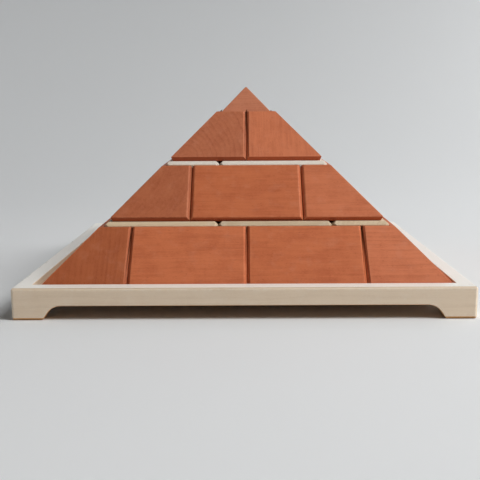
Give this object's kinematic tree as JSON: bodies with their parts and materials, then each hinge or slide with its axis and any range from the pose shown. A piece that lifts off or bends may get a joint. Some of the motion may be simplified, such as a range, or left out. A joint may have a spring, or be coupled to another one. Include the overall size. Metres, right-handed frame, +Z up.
{
  "type": "stacking block pyramid on a footed tray",
  "caption": "Stepped pyramid of loose plain wooden blocks cased in stained blocks with sloped faces, closed by a capstone, standing in a shallow square tray with arched feet.",
  "frame": {"origin": "centre of the tray, at the level its feet stand on", "axes": "+Z up, the front faces -Y, +X to the right as seen from the front"},
  "size_m": [0.2266, 0.2266, 0.1142],
  "materials": {
    "stained_wood": "terracotta stain, matt",
    "plain_wood": "plain, sanded and waxed",
    "pale_wood": "pale, sanded and waxed"
  },
  "bodies": {
    "tray": {"tray_panel": "pale_wood", "tray_rail_front": "pale_wood", "tray_rail_right": "pale_wood", "tray_rail_back": "pale_wood", "tray_rail_left": "pale_wood"},
    "base_corner_front_left": {"base_corner_front_left": "stained_wood"},
    "base_corner_front_right": {"base_corner_front_right": "stained_wood"},
    "base_corner_back_right": {"base_corner_back_right": "stained_wood"},
    "base_corner_back_left": {"base_corner_back_left": "stained_wood"},
    "base_edge_front_left": {"base_edge_front_left": "stained_wood"},
    "base_edge_front_right": {"base_edge_front_right": "stained_wood"},
    "base_edge_right_front": {"base_edge_right_front": "stained_wood"},
    "base_edge_right_back": {"base_edge_right_back": "stained_wood"},
    "base_edge_back_right": {"base_edge_back_right": "stained_wood"},
    "base_edge_back_left": {"base_edge_back_left": "stained_wood"},
    "base_edge_left_back": {"base_edge_left_back": "stained_wood"},
    "base_edge_left_front": {"base_edge_left_front": "stained_wood"},
    "lower_outer_ring": {"lower_outer_corner_front": "plain_wood", "lower_outer_corner_right": "plain_wood", "lower_outer_corner_back": "plain_wood", "lower_outer_corner_left": "plain_wood", "lower_outer_side_front": "plain_wood", "lower_outer_side_right": "plain_wood", "lower_outer_side_back": "plain_wood", "lower_outer_side_left": "plain_wood"},
    "middle_corner_front_left": {"middle_corner_front_left": "stained_wood"},
    "middle_corner_front_right": {"middle_corner_front_right": "stained_wood"},
    "middle_corner_back_right": {"middle_corner_back_right": "stained_wood"},
    "middle_corner_back_left": {"middle_corner_back_left": "stained_wood"},
    "middle_edge_front": {"middle_edge_front": "stained_wood"},
    "middle_edge_right": {"middle_edge_right": "stained_wood"},
    "middle_edge_back": {"middle_edge_back": "stained_wood"},
    "middle_edge_left": {"middle_edge_left": "stained_wood"},
    "lower_inner_core": {"lower_inner_front": "plain_wood", "lower_inner_right": "plain_wood", "lower_inner_back": "plain_wood", "lower_inner_left": "plain_wood", "lower_centre": "plain_wood"},
    "upper_ring": {"upper_ring_front": "plain_wood", "upper_ring_right": "plain_wood", "upper_ring_back": "plain_wood", "upper_ring_left": "plain_wood"},
    "top_corner_front_left": {"top_corner_front_left": "stained_wood"},
    "top_corner_front_right": {"top_corner_front_right": "stained_wood"},
    "top_corner_back_right": {"top_corner_back_right": "stained_wood"},
    "top_corner_back_left": {"top_corner_back_left": "stained_wood"},
    "upper_centre": {"upper_centre": "plain_wood"},
    "capstone": {"capstone": "stained_wood"}
  },
  "joints": [
    {"name": "base_corner_front_left_lift", "type": "slide", "parent": "tray", "child": "base_corner_front_left", "axis": [0, 0, 1], "range_m": [0, 0.036]},
    {"name": "base_corner_front_right_lift", "type": "slide", "parent": "tray", "child": "base_corner_front_right", "axis": [0, 0, 1], "range_m": [0, 0.036]},
    {"name": "base_corner_back_right_lift", "type": "slide", "parent": "tray", "child": "base_corner_back_right", "axis": [0, 0, 1], "range_m": [0, 0.036]},
    {"name": "base_corner_back_left_lift", "type": "slide", "parent": "tray", "child": "base_corner_back_left", "axis": [0, 0, 1], "range_m": [0, 0.036]},
    {"name": "base_edge_front_left_lift", "type": "slide", "parent": "tray", "child": "base_edge_front_left", "axis": [0, 0, 1], "range_m": [0, 0.036]},
    {"name": "base_edge_front_right_lift", "type": "slide", "parent": "tray", "child": "base_edge_front_right", "axis": [0, 0, 1], "range_m": [0, 0.036]},
    {"name": "base_edge_right_front_lift", "type": "slide", "parent": "tray", "child": "base_edge_right_front", "axis": [0, 0, 1], "range_m": [0, 0.036]},
    {"name": "base_edge_right_back_lift", "type": "slide", "parent": "tray", "child": "base_edge_right_back", "axis": [0, 0, 1], "range_m": [0, 0.036]},
    {"name": "base_edge_back_right_lift", "type": "slide", "parent": "tray", "child": "base_edge_back_right", "axis": [0, 0, 1], "range_m": [0, 0.036]},
    {"name": "base_edge_back_left_lift", "type": "slide", "parent": "tray", "child": "base_edge_back_left", "axis": [0, 0, 1], "range_m": [0, 0.036]},
    {"name": "base_edge_left_back_lift", "type": "slide", "parent": "tray", "child": "base_edge_left_back", "axis": [0, 0, 1], "range_m": [0, 0.036]},
    {"name": "base_edge_left_front_lift", "type": "slide", "parent": "tray", "child": "base_edge_left_front", "axis": [0, 0, 1], "range_m": [0, 0.036]},
    {"name": "lower_outer_ring_lift", "type": "slide", "parent": "tray", "child": "lower_outer_ring", "axis": [0, 0, 1], "range_m": [0, 0.036]},
    {"name": "middle_corner_front_left_lift", "type": "slide", "parent": "lower_outer_ring", "child": "middle_corner_front_left", "axis": [0, 0, 1], "range_m": [0, 0.036]},
    {"name": "middle_corner_front_right_lift", "type": "slide", "parent": "lower_outer_ring", "child": "middle_corner_front_right", "axis": [0, 0, 1], "range_m": [0, 0.036]},
    {"name": "middle_corner_back_right_lift", "type": "slide", "parent": "lower_outer_ring", "child": "middle_corner_back_right", "axis": [0, 0, 1], "range_m": [0, 0.036]},
    {"name": "middle_corner_back_left_lift", "type": "slide", "parent": "lower_outer_ring", "child": "middle_corner_back_left", "axis": [0, 0, 1], "range_m": [0, 0.036]},
    {"name": "middle_edge_front_lift", "type": "slide", "parent": "lower_outer_ring", "child": "middle_edge_front", "axis": [0, 0, 1], "range_m": [0, 0.036]},
    {"name": "middle_edge_right_lift", "type": "slide", "parent": "lower_outer_ring", "child": "middle_edge_right", "axis": [0, 0, 1], "range_m": [0, 0.036]},
    {"name": "middle_edge_back_lift", "type": "slide", "parent": "lower_outer_ring", "child": "middle_edge_back", "axis": [0, 0, 1], "range_m": [0, 0.036]},
    {"name": "middle_edge_left_lift", "type": "slide", "parent": "lower_outer_ring", "child": "middle_edge_left", "axis": [0, 0, 1], "range_m": [0, 0.036]},
    {"name": "lower_inner_core_lift", "type": "slide", "parent": "tray", "child": "lower_inner_core", "axis": [0, 0, 1], "range_m": [0, 0.036]},
    {"name": "upper_ring_lift", "type": "slide", "parent": "lower_inner_core", "child": "upper_ring", "axis": [0, 0, 1], "range_m": [0, 0.036]},
    {"name": "top_corner_front_left_lift", "type": "slide", "parent": "upper_ring", "child": "top_corner_front_left", "axis": [0, 0, 1], "range_m": [0, 0.036]},
    {"name": "top_corner_front_right_lift", "type": "slide", "parent": "upper_ring", "child": "top_corner_front_right", "axis": [0, 0, 1], "range_m": [0, 0.036]},
    {"name": "top_corner_back_right_lift", "type": "slide", "parent": "upper_ring", "child": "top_corner_back_right", "axis": [0, 0, 1], "range_m": [0, 0.036]},
    {"name": "top_corner_back_left_lift", "type": "slide", "parent": "upper_ring", "child": "top_corner_back_left", "axis": [0, 0, 1], "range_m": [0, 0.036]},
    {"name": "upper_centre_lift", "type": "slide", "parent": "lower_inner_core", "child": "upper_centre", "axis": [0, 0, 1], "range_m": [0, 0.036]},
    {"name": "capstone_lift", "type": "slide", "parent": "upper_centre", "child": "capstone", "axis": [0, 0, 1], "range_m": [0, 0.036]}
  ]
}
